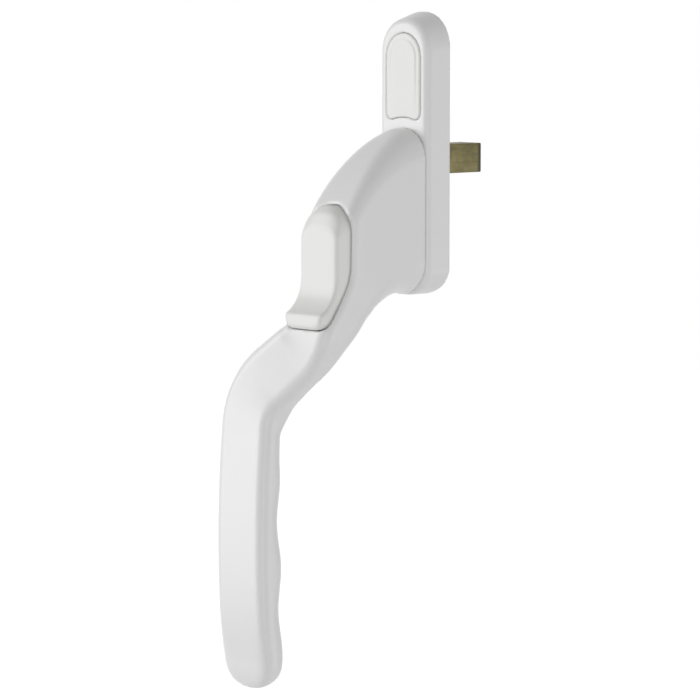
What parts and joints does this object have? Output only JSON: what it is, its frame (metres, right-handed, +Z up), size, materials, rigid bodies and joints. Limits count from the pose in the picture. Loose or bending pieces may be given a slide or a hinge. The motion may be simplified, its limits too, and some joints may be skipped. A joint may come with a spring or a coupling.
{
  "type": "casement window fastener",
  "caption": "Cranked white lever handle for a casement window, with a push-button latch, screw cover cap and square drive spindle.",
  "frame": {"origin": "on the spindle axis at the plate's back face, which lies on the window", "axes": "+Z up along the plate towards the cover cap, +Y along the spindle into the window, X to the right seen from the room"},
  "size_m": [0.0357, 0.0594, 0.16],
  "materials": {
    "white_coat": "satin powder coat on die-cast zinc alloy",
    "white_plastic": "satin",
    "dark_plastic": "smooth acetal",
    "bright_steel": "zinc plated",
    "spring_steel": "tempered",
    "yellow_steel": "yellow passivated zinc"
  },
  "bodies": {
    "base": {"base_plate": "white_coat", "bearing_bush": "dark_plastic", "index_spring": "spring_steel", "back_cover": "bright_steel", "back_rivet_upper": "bright_steel", "back_rivet_lower": "bright_steel"},
    "handle": {"lever": "white_coat", "glide_washer": "dark_plastic", "hub_washer": "bright_steel", "hub_circlip": "spring_steel", "spindle": "yellow_steel", "spindle_pin": "spring_steel", "stem_guide": "dark_plastic", "latch_spring": "spring_steel", "latch_pivot": "bright_steel", "button_spring": "spring_steel"},
    "button": {"push_button": "white_plastic", "button_stem": "bright_steel", "stem_clip": "spring_steel"},
    "cap": {"cover_cap": "white_plastic"}
  },
  "joints": [
    {"name": "lever_turn", "type": "hinge", "parent": "base", "child": "handle", "pos_m": [0, 0, 0], "axis": [0, -1, 0], "range_deg": [-90, 90], "deforming": ["index_spring"]},
    {"name": "button_press", "type": "slide", "parent": "handle", "child": "button", "axis": [0, 1, 0], "range_m": [0, 0.003], "stiffness_N_per_m": 1500, "springref_m": -0.002, "deforming": ["button_spring", "latch_spring"]},
    {"name": "cap_pull", "type": "slide", "parent": "base", "child": "cap", "axis": [0, -1, 0], "range_m": [0, 0.015]}
  ]
}
